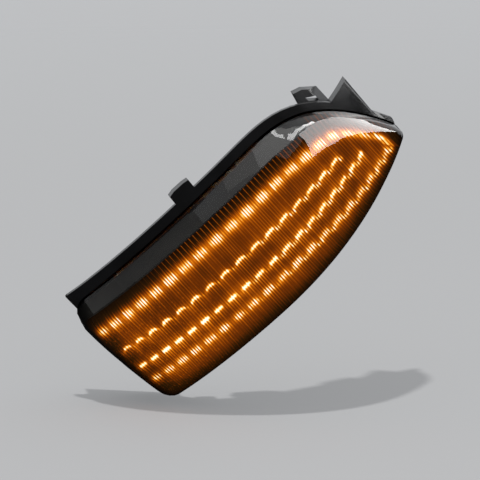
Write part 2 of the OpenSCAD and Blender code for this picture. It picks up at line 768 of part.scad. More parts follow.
module rear_housing()
    color([0.05, 0.05, 0.055])
        difference() {
            union() {
                difference() {
                    housing_body();
                    bowed(-5, ledge_d) offset(delta = groove_w) rim_outline();
                    bowed(-5, inner_back_d) tub_outline(ledge_w);
                }
                housing_inner_posts();
            }
            for (x = fix_x)
                rod(x, fix_z, fix_face_y - fix_bore_l, fix_face_y + 5, fix_bore_r);
            for (x = carrier_screw_x)
                rod(x, carrier_screw_z(x), bow_y(x, carrier_d), bow_y(x, carrier_d) + carrier_boss_l + 6, small_screw_r);
            for (at = board_screw_at)
                rod(at[0], at[1], board_back_y - 2, board_back_y + 4.6, small_screw_r);
            along_y(shroud_floor_y, shroud_end_y + 5)
                translate([0, socket_z])
                    rounded(socket_w, socket_h, 0.8);
            for (x = blade_at)
                block(x, socket_z, board_back_y, shroud_floor_y + 1, blade_w + 2 * gap, blade_t + 2 * gap);
            rod(vent_x, vent_z, vent_end_y - patch_t - gap, vent_end_y + 5, vent_r - 1);
            rod(vent_x, vent_z, vent_end_y - 20, vent_end_y, 1);
        }

// Everything is drawn about the bow's axis and then moved to the origin of the fixing face
module placed()
    translate([0, -fix_face_y, -fix_z])
        children();

placed() rear_housing();
placed() outer_lens();
placed() lens_seal();
placed() led_carrier();
placed() led_strip_1();
placed() led_strip_2();
placed() led_strip_3();
placed() led_strip_4();
placed() led_row_1();
placed() led_row_2();
placed() led_row_3();
placed() led_row_4();
placed() strip_resistors();
placed() strip_pins();
placed() driver_board();
placed() driver_chip();
placed() protection_diode();
placed() capacitors();
placed() resistors();
placed() connector_pins();
placed() connector_seal();
placed() board_screws();
placed() carrier_screws();
placed() vent_patch();
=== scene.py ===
# %% [markdown]
# # A mirror turn signal lamp, dressed in Blender
# The packed CAD model arrives as a fixed frame: every solid is already in its true place. This script
# gives the solids their plastics, lights the amber lens and sets up the studio. Lengths are in metres in
# Blender. The lamp's own formulas are in millimetres, and MM turns one into the other.

# %% Load the frame
import json
import math
import bmesh
import bpy
from mathutils import Matrix, Vector


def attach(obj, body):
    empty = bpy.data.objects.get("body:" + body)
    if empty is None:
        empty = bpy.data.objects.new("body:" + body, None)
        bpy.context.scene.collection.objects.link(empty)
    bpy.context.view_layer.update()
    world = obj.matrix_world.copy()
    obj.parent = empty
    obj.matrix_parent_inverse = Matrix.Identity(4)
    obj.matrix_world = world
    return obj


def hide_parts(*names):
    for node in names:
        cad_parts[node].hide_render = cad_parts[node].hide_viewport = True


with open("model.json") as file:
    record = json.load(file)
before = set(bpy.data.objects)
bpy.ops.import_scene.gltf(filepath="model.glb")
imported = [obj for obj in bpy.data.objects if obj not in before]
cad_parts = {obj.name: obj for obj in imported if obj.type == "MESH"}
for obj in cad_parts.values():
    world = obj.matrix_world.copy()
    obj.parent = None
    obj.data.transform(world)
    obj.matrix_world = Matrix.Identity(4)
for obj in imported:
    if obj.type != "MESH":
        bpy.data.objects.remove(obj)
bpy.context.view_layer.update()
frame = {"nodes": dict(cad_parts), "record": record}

MM = 0.001

# %% [markdown]
# ## The lamp's own curves
# The real lens is one bowed moulding. It is bent round an upright axis, and seen from the front its upper
# edge, its crease and its lower edge are three smooth curves that meet near the tip. The glow behind the
# flutes follows them, so the same curves are written here once more. Short formulas are used, because a
# pattern can then ask at any point how far it is from an edge. A point is given by x along the lamp and z
# upwards, in millimetres, both counted from the middle of the bow.

# %% Sizes of the lens
BOW_R = 85.5                                     # radius of the bow
AXIS_Y, AXIS_Z = 46.0, 10.0                      # where the middle of the bow lies in the frame
BLUNT_X, BLUNT_ROUND = 72.5, 4.5                 # reach of the blunt end, and its round corners
TIP_X, TIP_Z = 76.0, -21.2                       # middle of the narrow tip
TIP_HIGH, TIP_ROUND = 4.2, 1.9                   # its height, and its round corners
TOP_Z, LOW_Z = 22.3, -35.6                       # highest and lowest line of the lens
SHOULDER_FROM, SHOULDER_POWER = 15, 3.45         # the top line falls late and steeply to the tip
HEEL_FROM, HEEL_POWER = -10, 2.2                 # the bottom line rises earlier and more gently
BLUNT_FALL = 3.8                                 # how far the top line sinks to the blunt end
CLEAR_HIGH = 7.8                                 # height of the clear band above the crease
LEAN_FROM, CLEAR_LEAN = 10, 0.022                # towards the blunt end it gets lower evenly
THIN_FROM, THIN_OVER, THIN_SHARE = 36, 26, 0.72  # towards the tip it gets much thinner
TIP_THIN_OVER, TIP_THIN_SHARE = 10, 0.2          # and once more just before the tip
print("the lens is", BLUNT_X + TIP_X, "mm long from end to end")

# %% [markdown]
# ## Bending a line
# Each edge of the real lens runs nearly level, then falls or rises ever faster, and ends in a round
# corner. A curve object could follow that too, but the glow needs the height at any x, so three small
# functions give the three kinds of bend.

# %% Bends
def rising(x, start, end, power):
    """0 up to the start, then growing to 1 at the end."""
    share = (x - start) / (end - start)
    return share ** power if share > 0 else 0.0


def eased(share):
    """From 0 to 1 with a soft start and a soft end."""
    share = min(max(share, 0.0), 1.0)
    return share * share * (3 - 2 * share)


def round_off(radius, into):
    """How far a round corner takes the edge back."""
    return radius - math.sqrt(max(radius ** 2 - into ** 2, 0)) if into > 0 else 0.0


def corner(x):
    """How much the round corners of both ends take off an edge."""
    at_blunt = round_off(BLUNT_ROUND, BLUNT_ROUND - (x + BLUNT_X))
    return at_blunt + round_off(TIP_ROUND, TIP_ROUND - (TIP_X - x))


print("the corner takes", round(corner(TIP_X), 1), "mm off each edge at the tip")

# %% [markdown]
# ## Edges and crease
# The upper edge meets the housing. The crease below it parts the clear band from the fluted face, and the
# lower edge closes the face. The crease is written as the upper edge less the height of the clear band,
# so that the band keeps its own height whatever the edge does.

# %% Edges and crease
def root_z(x):
    """The upper edge of the lens, where it meets the housing."""
    shoulder = (TOP_Z - TIP_Z - TIP_HIGH / 2) * rising(x, SHOULDER_FROM, TIP_X, SHOULDER_POWER)
    return TOP_Z - shoulder - BLUNT_FALL * rising(-x, -SHOULDER_FROM, BLUNT_X, 2) - corner(x)


def edge_z(x):
    """Its lower edge."""
    return LOW_Z + (TIP_Z - TIP_HIGH / 2 - LOW_Z) * rising(x, HEEL_FROM, TIP_X, HEEL_POWER) + corner(x)


def clear_gap(x):
    """Height of the clear band."""
    thinner = THIN_SHARE * eased((x - THIN_FROM) / THIN_OVER)
    thinner += TIP_THIN_SHARE * rising(x, TIP_X - TIP_THIN_OVER, TIP_X, 2)
    return CLEAR_HIGH * (1 - thinner) - CLEAR_LEAN * max(LEAN_FROM - x, 0)


def crease_z(x):
    return root_z(x) - clear_gap(x)


def edge_rise(x):
    """How far the lower edge has risen from its lowest line."""
    return edge_z(x) - corner(x) - LOW_Z


def bow_y(x):
    """The bowed face, seen from above."""
    return -math.sqrt(max(BOW_R ** 2 - x * x, 1))


print("lens edges at its middle:", round(root_z(0), 1), round(crease_z(0), 1), round(edge_z(0), 1))

# %% [markdown]
# ## The drawn-in blunt end
# On the real lamp the blunt end isn't straight. It bulges at the crease and is drawn in above and below
# it. The flutes follow that, so the formulas need to know where a point would lie if the end were
# straight. The pull depends on the answer itself, so the function below guesses, corrects the guess and
# repeats it a few times.

# %% Shape of the blunt end
BULGE_Z = crease_z(-BLUNT_X)
BLUNT_TUCK, TUCK_X = 5.7, 40                     # how far it is drawn in, and from where on
UPPER_POWER, LOWER_POWER = 1.3, 1.6
GUESSES = 12


def drawn_in(z):
    """How far the blunt end is drawn in at a height."""
    above, below = rising(z, BULGE_Z, TOP_Z, UPPER_POWER), rising(-z, -BULGE_Z, -LOW_Z, LOWER_POWER)
    return BLUNT_TUCK * (above + below)


def straight_x(x, z):
    """Where a point of the drawn-in blunt end would lie if the end were straight."""
    place = x
    for _ in range(GUESSES):
        place = x - drawn_in(z) * eased((-place - TUCK_X) / (BLUNT_X - TUCK_X))
    return place


print("the blunt end bulges at", round(BULGE_Z, 2), "and is drawn in by", round(drawn_in(LOW_Z), 1))

# %% [markdown]
# ## Where each light shines
# The real lamp has four bent strips with small amber lights. Seen through the flutes, the lights of a row
# make a chain of equal pictures. Each row has its own start, end, pitch and height, because the curved
# lens shifts each row a little.

# %% Lines of the light rows
FIRST_ROW_DROP = 8.9                                    # of the first row below the crease
ROW_HEIGHT = {2: -6.7, 3: -16.6, 4: -24.8}              # of the others, where they are level
ROW_RISE = {2: 0.0, 3: 0.45, 4: 0.5}                    # their share of the bottom edge's rise
GLOW_START = {1: -66.6, 2: -64.2, 3: -63.9, 4: -63.2}   # x of a row's first picture
GLOW_END = {1: 66.6, 2: 46.6, 3: 54.5, 4: 65.5}         # x of its last picture
GLOW_PITCH = {1: 8.4, 2: 8.15, 3: 7.45, 4: 8.0}         # from picture to picture
GLOW_LIFT = {1: (0.3, 0.0), 2: (0.5, 0.9), 3: (0.6, 1.1), 4: (1.3, 0.0)}
LIFT_FROM, LIFT_OVER = 10, 40                           # where the lift changes, left to right
TURN_DROP, TURN_FROM, TURN_OVER = 2.4, 52, 16           # the first row bends down near the tip


def row_z(row, x):
    """Height of a row of lights in the lamp."""
    if row == 1:
        return crease_z(x) + corner(x) - FIRST_ROW_DROP
    return ROW_HEIGHT[row] + ROW_RISE[row] * edge_rise(x)


def glow_z(row, x):
    """Height at which its pictures appear through the curved lens."""
    left, right = GLOW_LIFT[row]
    turn = TURN_DROP * eased((x - TURN_FROM) / TURN_OVER) if row == 1 else 0.0
    return row_z(row, x) + left + (right - left) * eased((x - LIFT_FROM) / LIFT_OVER) - turn


print("rows at x = 0 are", [round(glow_z(row, 0), 1) for row in GLOW_START], "mm high")

# %% [markdown]
# ## Counting along a row
# Walking along the row's bent line with small steps gives a running count, which is a whole number at the
# middle of every picture. A plain division of x by the pitch would draw the pictures too far apart at the
# ends, where the bow turns away.

# %% Count along a row
WALK_STEP = 0.25


def on_row(row, x):
    """A point of the row's line on the bow."""
    return x, bow_y(x), glow_z(row, x)


def row_counts(row):
    """The running count after each step of the walk, 0 at the row's first picture."""
    low, high = -BLUNT_X, TIP_X - 2 * WALK_STEP
    places = [low + i * WALK_STEP for i in range(int((high - low) / WALK_STEP) + 2)]
    counts, total = [], 0.0
    for a, b in zip(places, places[1:]):
        counts.append(total)
        total += math.dist(on_row(row, a), on_row(row, b)) / GLOW_PITCH[row]
    counts.append(total)
    first = counts[round((GLOW_START[row] - low) / WALK_STEP)]
    return [count - first for count in counts]


COUNTS = {row: row_counts(row) for row in GLOW_START}


def count_at(row, x):
    """The running count of a row at x, read between two steps of the walk."""
    counts = COUNTS[row]
    place = min(max((x + BLUNT_X) / WALK_STEP, 0), len(counts) - 1.001)
    i = int(place)
    return counts[i] + (counts[i + 1] - counts[i]) * (place - i)


for row in COUNTS:
    print("row", row, "shows", int(count_at(row, GLOW_END[row])) + 1, "lights")

# %% [markdown]
# ## A short way to write shader nodes
# Procedural patterns are sums and products of many small steps, and each step is a Math node. The helper
# below takes numbers or sockets, adds the node, links it and hands back its output, so a pattern reads
# like a formula. Every finish of the lamp is one Pattern, which owns one material.

# %% Node helper
NATURAL_BASE = 2.718


class Pattern:
    def __init__(self, name):
        self.material = bpy.data.materials.new(name)
        self.material.use_nodes = True
        self.nodes = self.material.node_tree.nodes
        self.links = self.material.node_tree.links
        self.shader = self.nodes["Principled BSDF"]

    def put(self, value, socket):
        """Link a socket, or write down a number."""
        if isinstance(value, bpy.types.NodeSocket):
            self.links.new(value, socket)
        elif value is not None:
            socket.default_value = value

    def math(self, operation, a, b=None, clamp=False):
        """One Math node. The short names below are its commonest kinds."""
        node = self.nodes.new("ShaderNodeMath")
        node.operation, node.use_clamp = operation, clamp
        for value, socket in zip((a, b), node.inputs):
            self.put(value, socket)
        return node.outputs[0]

    def add(self, a, b):
        return self.math("ADD", a, b)

    def sub(self, a, b):
        return self.math("SUBTRACT", a, b)

    def mul(self, a, b):
        return self.math("MULTIPLY", a, b)

    def ramp(self, value, low, high, start=0.0, end=1.0):
        """A soft step from start to end while the value goes from low to high."""
        node = self.nodes.new("ShaderNodeMapRange")
        node.interpolation_type = "SMOOTHSTEP"
        self.put(value, node.inputs["Value"])
        for key, number in (("From Min", low), ("From Max", high), ("To Min", start), ("To Max", end)):
            node.inputs[key].default_value = number
        return node.outputs[0]

    def peak(self, value, width):
        """1 where the value is 0, falling to 0 at a distance of about two widths."""
        scaled = self.math("DIVIDE", value, width)
        return self.math("POWER", NATURAL_BASE, self.mul(self.mul(scaled, scaled), -1))

    def attribute(self, name):
        """Three numbers that the mesh stores at each corner."""
        node = self.nodes.new("ShaderNodeAttribute")
        node.attribute_name = name
        split = self.nodes.new("ShaderNodeSeparateXYZ")
        self.links.new(node.outputs["Vector"], split.inputs[0])
        return split.outputs

    def place(self, stretch):
        where = self.nodes.new("ShaderNodeTexCoord").outputs["Object"]
        mapping = self.nodes.new("ShaderNodeMapping")
        mapping.inputs["Scale"].default_value = stretch
        self.links.new(where, mapping.inputs["Vector"])
        return mapping.outputs[0]

    def noise(self, scale, detail, stretch=(1, 1, 1)):
        """Soft clouds between 0 and 1. A larger scale makes them smaller."""
        node = self.nodes.new("ShaderNodeTexNoise")
        self.links.new(self.place(stretch), node.inputs["Vector"])
        node.inputs["Scale"].default_value = scale
        node.inputs["Detail"].default_value = detail
        return node.outputs["Fac"]

    def colours(self, value, stops):
        """A scale of colours. Each stop is a place from 0 to 1 and its colour."""
        node = self.nodes.new("ShaderNodeValToRGB")
        elements = node.color_ramp.elements
        while len(elements) < len(stops):
            elements.new(0.5)
        for element, (position, colour) in zip(elements, stops):
            element.position, element.color = position, (*colour, 1)
        self.put(value, node.inputs["Fac"])
        return node.outputs["Color"]

    def bump(self, height, distance, strength):
        node = self.nodes.new("ShaderNodeBump")
        node.inputs["Strength"].default_value = strength
        node.inputs["Distance"].default_value = distance
        self.links.new(height, node.inputs["Height"])
        self.links.new(node.outputs[0], self.shader.inputs["Normal"])

    def set(self, **values):
        """Numbers, colours or patterns for the sockets of the main shader."""
        for key, value in values.items():
            self.put(value, self.shader.inputs[key.replace("_", " ")])


print("steps of a pattern:", ", ".join(name for name in vars(Pattern) if not name.startswith("_")))

# %% [markdown]
# ## Dressing a piece
# In Blender a mesh has a numbered list of materials, and each face says which number it wears. A piece
# gets its list from the small function below, in place of the plain one that the CAD model brought along.

# %% Dress a piece
def dress(piece, *patterns):
    """Give a piece these finishes in place of its old ones."""
    piece.data.materials.clear()
    for pattern in patterns:
        piece.data.materials.append(pattern.material)


print(len(frame["nodes"]), "CAD solids wait for a finish")

# %% [markdown]
# ## Black moulded plastic
# The housing is one black moulding. Real moulded plastic isn't evenly black: its skin has a fine grain,
# and shade and gloss change a little from place to place. One slow noise drives shade and gloss, and a
# fine one the grain.

# %% Housing plastic
HOUSING_SHADE, HOUSING_ROUGH, GRAIN_DEEP = 0.011, 0.16, 0.04 * MM
housing_plastic = Pattern("housing_plastic")
cloud = housing_plastic.noise(60, 3)
housing_plastic.set(
    Base_Color=housing_plastic.colours(cloud, [
        (0.3, [HOUSING_SHADE * 0.8] * 3),
        (0.7, [HOUSING_SHADE * 1.25, HOUSING_SHADE * 1.25, HOUSING_SHADE * 1.35])]),
    Roughness=housing_plastic.ramp(cloud, 0.3, 0.7, HOUSING_ROUGH - 0.05, HOUSING_ROUGH + 0.07),
    Specular_IOR_Level=0.14)
housing_plastic.bump(housing_plastic.noise(2600, 2), GRAIN_DEEP, 0.5)
print("housing plastic uses", len(housing_plastic.nodes), "nodes")

# %% [markdown]
# ## The smoked skin of the lens
# The outer skin is polished, so it is drawn as glass with a faint smoky tint. The amber glow lies behind
# it, on the flutes of the inner skin. Two layers keep the crisp mirror of the softbox in front of the
# soft light. Near its outline the real lens looks black, since one looks along the plastic there, so a
# painted shade darkens the tint towards the edge. A very weak wave in the surface keeps reflections from
# looking ruled.

# %% Lens skin
EDGE_PAINTED_SHADE, FACE_CLEAR = (0.004, 0.002, 0.001), (0.93, 0.9, 0.86)
lens_skin = Pattern("lens_skin")
_, above_edge, below_root = lens_skin.attribute("lens_edges")
from_blunt, from_tip, _ = lens_skin.attribute("lens_ends")
# Each step goes from the painted edge shade to clear between two distances in millimetres
clear_of_painted_edge_shade = lens_skin.mul(
    lens_skin.mul(lens_skin.ramp(above_edge, -0.5, 5.0), lens_skin.ramp(below_root, 0.2, 2.2)),
    lens_skin.mul(lens_skin.ramp(from_blunt, 0.0, 5.0), lens_skin.ramp(from_tip, 0.0, 5.0)))
lens_skin.set(Base_Color=lens_skin.colours(clear_of_painted_edge_shade, [(0.0, EDGE_PAINTED_SHADE), (1.0, FACE_CLEAR)]),
              Roughness=0.0, IOR=1.49, Transmission_Weight=1.0)
lens_skin.bump(lens_skin.noise(45, 1), 0.4 * MM, 0.15)
print("lens skin uses", len(lens_skin.nodes), "nodes")

# %% [markdown]
# ## The streaks of the flutes
# Each flute is a narrow upright lens. It squeezes the light behind it into a thin upright streak, so a
# row of lights becomes a row of little combs. The pattern is built from numbers stored on the mesh
# further down: the flute count, the distances from the lens's edges, the count along each row and the
# distance from the row's line.

# %% Streaks
STREAK_STEP = 1.13
glow = Pattern("glow")
flute = glow.attribute("flute")[0]
below_crease, above_edge, _ = glow.attribute("lens_edges")
from_blunt, from_tip, along_lamp = glow.attribute("lens_ends")
flute_middle = glow.sub(glow.math("FRACT", flute), 0.5)


def chance(number, low, high):
    """A steady random value for each whole number, so that streaks and lights differ in brightness."""
    noise = glow.nodes.new("ShaderNodeTexWhiteNoise")
    noise.noise_dimensions = "1D"
    glow.links.new(glow.math("FLOOR", number), noise.inputs["W"])
    return glow.ramp(noise.outputs["Value"], 0, 1, low, high)


broad_streak = glow.mul(glow.peak(flute_middle, 0.2), chance(flute, 0.7, 1.0))
streak_count = glow.mul(along_lamp, 1 / STREAK_STEP)
streak_wave = glow.math("ABSOLUTE", glow.math("SINE", glow.mul(streak_count, math.pi)))
fine_streak = glow.mul(glow.math("POWER", streak_wave, 4), chance(streak_count, 0.45, 1.0))
comb = glow.add(glow.mul(broad_streak, 0.15), fine_streak)
ridge = glow.peak(glow.sub(glow.math("ABSOLUTE", flute_middle), 0.5), 0.06)
print("streaks stand", STREAK_STEP, "mm apart")

# %% [markdown]
# ## The picture of one row of lights
# Through the flutes one light looks like a bright dash, with comb teeth above and below it and small dots
# up to the next dash. The rows differ: the first and last are combs, the two in the middle are nearly
# solid dashes. Some pictures are arched or tilted, and the looks of a row change along the lamp, so those
# values are given as a pair, left and right. Lengths are in millimetres.

# %% Looks of the rows
CHANGE_FROM, CHANGE_TO = -30, 25                 # where the looks change, left to right
ROW_REACH, ROW_FULL = 0.75, 0.45                 # of a row beyond its end lights, in lights
TOOTH_LIGHT, TOOTH_BETWEEN = 0.6, 0.35           # brightness of the teeth, and their share between dashes
HALO_WIDE, DASH_SOFT = 2.6, 0.7
DOT_DROP, DOT_TALL = 1.2, 0.9
ROW_LOOKS = {
    1: dict(dash=2.6, tall=1.6, up=1.9, down=1.9, halo=0.2,
            solid=(0.05, 0.12), arch=(0.0, 0.0), tilt=(0.0, 0.0), dots=(0.0, 0.2)),
    2: dict(dash=2.3, tall=0.65, up=0.7, down=1.6, halo=0.08,
            solid=(0.6, 0.6), arch=(0.11, 0.0), tilt=(0.05, 0.12), dots=(0.1, 0.9)),
    3: dict(dash=2.1, tall=0.75, up=1.1, down=2.2, halo=0.1,
            solid=(0.85, 0.45), arch=(0.0, 0.0), tilt=(0.05, 0.12), dots=(0.1, 0.9)),
    4: dict(dash=2.4, tall=1.3, up=0.9, down=1.2, halo=0.1,
            solid=(0.05, 0.1), arch=(0.0, 0.0), tilt=(0.0, 0.12), dots=(0.1, 0.8)),
}
print("dashes reach", [looks["dash"] for looks in ROW_LOOKS.values()], "mm to each side of a light")

# %% [markdown]
# ## Painting the rows
# Each row is painted by one function. It turns the running count into a distance from the nearest light,
# draws the dash, the teeth, the dots and a weak halo from that distance and the one from the row's line,
# and adds them. Where two rows meet, the brighter one wins, so that they don't add up to a glare.

# %% Rows of lights
def left_to_right(pair):
    """A value that changes softly from the first to the second along the lamp."""
    return glow.ramp(along_lamp, CHANGE_FROM, CHANGE_TO, *pair)


def dying_away(distance, reach):
    """1 up to the line, then falling off beyond it."""
    beyond = glow.math("MAXIMUM", distance, 0)
    return glow.math("POWER", NATURAL_BASE, glow.math("DIVIDE", beyond, -reach))


def row_light(row, dash, tall, up, down, halo, solid, arch, tilt, dots):
    """A dash at each light of a row, with teeth above and below it and dots up to the next."""
    count, offset, _ = glow.attribute(f"row_{row}")
    last = count_at(row, GLOW_END[row])
    in_row = glow.mul(glow.ramp(count, -ROW_REACH, -ROW_FULL),
                      glow.ramp(count, last + ROW_REACH, last + ROW_FULL))
    along = glow.mul(glow.sub(glow.math("FRACT", glow.add(count, 0.5)), 0.5), GLOW_PITCH[row])
    line = glow.add(glow.sub(offset, glow.mul(along, left_to_right(tilt))),
                    glow.mul(glow.mul(along, along), left_to_right(arch)))
    on_dash = glow.ramp(glow.math("ABSOLUTE", along), dash + DASH_SOFT, dash - DASH_SOFT)
    lamp_strength = chance(glow.add(count, 0.5 + 20 * row), 0.8, 1.0)
    solid_share = left_to_right(solid)
    core = glow.mul(glow.mul(on_dash, glow.peak(line, tall)),
                    glow.add(glow.mul(comb, glow.sub(1.0, solid_share)), solid_share))
    tooth_share = glow.add(glow.mul(on_dash, 1 - TOOTH_BETWEEN), TOOTH_BETWEEN)
    teeth = glow.mul(glow.mul(dying_away(line, up), dying_away(glow.mul(line, -1), down)),
                     glow.mul(comb, tooth_share))
    between = glow.sub(1.0, on_dash)
    dot = glow.mul(glow.mul(glow.peak(glow.add(offset, DOT_DROP), DOT_TALL), between),
                   glow.mul(comb, left_to_right(dots)))
    light = glow.add(glow.add(glow.mul(core, lamp_strength), glow.mul(teeth, TOOTH_LIGHT)),
                     glow.add(dot, glow.mul(glow.peak(line, HALO_WIDE), halo)))
    return glow.mul(light, in_row)


all_rows, *other_rows = [row_light(row, **looks) for row, looks in ROW_LOOKS.items()]
for light in other_rows:
    all_rows = glow.math("MAXIMUM", all_rows, light)
print("painted", len(ROW_LOOKS), "rows of lights")

# %% [markdown]
# ## The turn inside the tip
# In the real lamp the first row runs round inside the tip and meets the fourth. An upright patch of comb
# light, just inside the tip, joins the two ends.

# %% Turn of the first row
TURN_X, TURN_WIDE = 67.6, 1.4
TURN_LOW, TURN_SOFT = -22.5, 1.5
first_offset = glow.attribute("row_1")[1]
turn_low = TURN_LOW - glow_z(1, TURN_X + 1)
turn_light = glow.mul(glow.peak(glow.sub(from_tip, TIP_X - TURN_X), TURN_WIDE),
                      glow.mul(glow.ramp(first_offset, 0.5, -0.5),
                               glow.ramp(first_offset, turn_low, turn_low + TURN_SOFT)))
all_rows = glow.math("MAXIMUM", all_rows, glow.mul(turn_light, glow.add(glow.mul(comb, 0.9), 0.2)))
print("the first row turns at x =", TURN_X)

# %% [markdown]
# ## The amber between the rows
# Light strays inside the lens, so the plastic between the rows glows a deep brown. It fades to the edges,
# is lightly speckled at the blunt end, and tan hairlines on the ridges of the flutes run up to the
# crease. One scale of colours then turns the amount of light into dark brown, amber, yellow and nearly
# white.

# %% Amber
AMBER_LIGHT, ROW_SHARE, GLOW_STRENGTH = 0.21, 0.9, 1.25
AMBER_STOPS = [(0.0, (0.004, 0.002, 0.0006)), (0.1, (0.022, 0.008, 0.001)),
               (0.22, (0.14, 0.026, 0.001)), (0.4, (0.5, 0.11, 0.002)), (0.55, (0.85, 0.28, 0.01)),
               (0.7, (1.0, 0.56, 0.09)), (0.85, (1.0, 0.86, 0.42)), (1.0, (1.0, 1.0, 0.88))]
# Each step below goes from a first to a second distance in millimetres, and from a first to a second share
from_edges = glow.mul(
    glow.mul(glow.ramp(below_crease, 1.5, 9.0, 0.06, 1.0), glow.ramp(above_edge, 0.0, 9.0, 0.2, 1.0)),
    glow.mul(glow.ramp(from_blunt, 1.0, 12.0, 0.25, 1.0), glow.ramp(from_tip, 1.5, 11.0, 0.2, 1.0)))
uneven = glow.ramp(glow.noise(70, 2), 0.3, 0.7, 0.65, 0.95)
amber = glow.mul(glow.mul(from_edges, AMBER_LIGHT), glow.add(glow.mul(comb, 0.45), uneven))
speck = glow.ramp(glow.noise(1100, 3, (1, 1, 0.8)), 0.52, 0.72)
speckles = glow.mul(glow.mul(speck, glow.ramp(along_lamp, -15, -60, 0.015, 0.09)),
                    glow.ramp(below_crease, 3.0, 12.0))
hairline = glow.mul(glow.mul(ridge, glow.ramp(below_crease, 8.5, 1.0, 0.05, 0.34)),
                    glow.ramp(from_blunt, 15.0, 55.0))
light_level = glow.math("ADD", glow.add(glow.mul(all_rows, ROW_SHARE), glow.add(amber, speckles)),
                        hairline, clamp=True)
glow.set(Base_Color=(0.01, 0.004, 0.002, 1), Roughness=1.0, Specular_IOR_Level=0.0,
         Emission_Color=glow.colours(light_level, AMBER_STOPS), Emission_Strength=GLOW_STRENGTH)
print("glow uses", len(glow.nodes), "nodes")

# %% [markdown]
# ## The dark wall behind the clear band
# Above the crease the lens has no flutes, and one looks through clear plastic at the lamp's dark inside.
# A dull and slightly cloudy black on the inner skin stands for it. It is partly the black parts inside
# and partly painted shade, so that only the polished skin in front shines.

# %% Dark wall
DARKEST, LESS_DARK = (0.008, 0.008, 0.007), (0.02, 0.02, 0.018)
# painted shade: a dull black sheet on the inner skin for the dark, shaded inside behind the clear band
inside_shade_wall = Pattern("inside_shade_wall")
murk = inside_shade_wall.noise(55, 3, (1, 1, 2))
inside_shade_wall.set(Base_Color=inside_shade_wall.colours(murk, [(0.3, DARKEST), (0.7, LESS_DARK)]),
              Roughness=0.6, Specular_IOR_Level=0.2)
print("dark wall uses", len(inside_shade_wall.nodes), "nodes")

# %% [markdown]
# ## A copy to work on
# A CAD mesh is never changed, so a solid that needs more work is copied. The copy takes the solid's
# place. The triangles of a CAD mesh are loose, so corners that lie together are merged first. After that,
# smooth shading and bevels can run across from face to face.

# %% Copy of a solid
MERGE_WITHIN = 0.002 * MM


def merged_copy(node, name):
    """The mesh of a CAD solid to work on, and the new piece that takes its place."""
    bm = bmesh.new()
    bm.from_mesh(frame["nodes"][node].data)
    bmesh.ops.remove_doubles(bm, verts=bm.verts, dist=MERGE_WITHIN)
    mesh = bpy.data.meshes.new(name)
    piece = bpy.data.objects.new(name, mesh)
    bpy.context.scene.collection.objects.link(piece)
    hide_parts(node)
    return bm, piece


bm, lens = merged_copy("outer_lens", "lens")
print("merged the lens to", len(bm.verts), "corners")

# %% [markdown]
# ## Sorting the faces of the lens
# The real lens is one piece of plastic, but it has three kinds of surface. Inner faces below the crease
# are the flutes and glow, inner faces above it are the dark wall, and all the rest is polished skin. A
# face is an inner one if it looks towards a point in the hollow behind the lens.

# %% Lens faces
SKIN, FLUTED, DARK = 0, 1, 2
RIM_DEEP = 13.3                                  # faces further back belong to the hidden rim
HELD_BLUNT, HELD_TIP, HOLLOW_DEEP = 6, 8, 8      # where the point in the hollow may lie
LOOKS_INWARDS, BELOW_CREASE = 0.05, 0.4


def lamp_place(co):
    """A corner's place in millimetres from the middle of the bow."""
    return co.x / MM, co.y / MM - AXIS_Y, co.z / MM - AXIS_Z


for face in bm.faces:
    x, y, z = lamp_place(face.calc_center_median())
    held = min(max(x, -BLUNT_X + HELD_BLUNT), TIP_X - HELD_TIP)
    hollow = Vector((held, bow_y(held) + HOLLOW_DEEP, (crease_z(held) + edge_z(held)) / 2))
    inwards = (hollow - Vector((x, y, z))).normalized()
    face.material_index, face.smooth = SKIN, True
    if face.normal.dot(inwards) > LOOKS_INWARDS and y - bow_y(x) <= RIM_DEEP:
        face.material_index = FLUTED if z < crease_z(straight_x(x, z)) - BELOW_CREASE else DARK
fluted_faces = sum(face.material_index == FLUTED for face in bm.faces)
print("lens:", len(bm.faces), "faces,", fluted_faces, "of them on the flutes")

# %% [markdown]
# ## Sharp crease, and the numbers for the glow
# The real lens has one sharp crease between the clear band and the fluted face. Edges along it and all
# steep edges stay sharp, and the rest is shaded smooth. Then every corner of the mesh stores what the
# glow asks for: its place among the flutes, its distances from the edges and ends, and its place along
# each row.

# %% Lens numbers
SHARP_FROM = math.radians(50)
ON_CREASE = 0.05
FLUTE_STEP = math.radians(1.42)                  # round the bow
FIRST_FLUTE_X, LAST_FLUTE_X = -BLUNT_X + 3.1, TIP_X - 4.0


def below_the_crease(vert):
    x, y, z = lamp_place(vert.co)
    return crease_z(straight_x(x, z)) - z


for edge in bm.edges:
    on_crease = all(abs(below_the_crease(vert)) < ON_CREASE for vert in edge.verts)
    edge.smooth = not on_crease and edge.calc_face_angle(0) < SHARP_FROM
layers = {name: bm.verts.layers.float_vector.new(name)
          for name in ("flute", "row_1", "row_2", "row_3", "row_4", "lens_edges", "lens_ends")}
first_flute, last_flute = math.asin(FIRST_FLUTE_X / BOW_R), math.asin(LAST_FLUTE_X / BOW_R)
flutes = int((last_flute - first_flute) / FLUTE_STEP)
for vert in bm.verts:
    true_x, _, z = lamp_place(vert.co)
    x = straight_x(true_x, z)
    angle = math.asin(max(-1, min(1, x / BOW_R)))
    flute_count = (angle - first_flute) / (last_flute - first_flute) * flutes
    vert[layers["flute"]] = Vector((flute_count, 0, 0))
    for row in COUNTS:
        vert[layers[f"row_{row}"]] = Vector((count_at(row, true_x), z - glow_z(row, true_x), 0))
    vert[layers["lens_edges"]] = Vector((crease_z(x) - z, z - edge_z(x), root_z(x) - z))
    vert[layers["lens_ends"]] = Vector((x + BLUNT_X, TIP_X - x, x))
dress(lens, lens_skin, glow, inside_shade_wall)
bm.to_mesh(lens.data)
bm.free()
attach(lens, "root")
print("the lens has", flutes, "flutes")

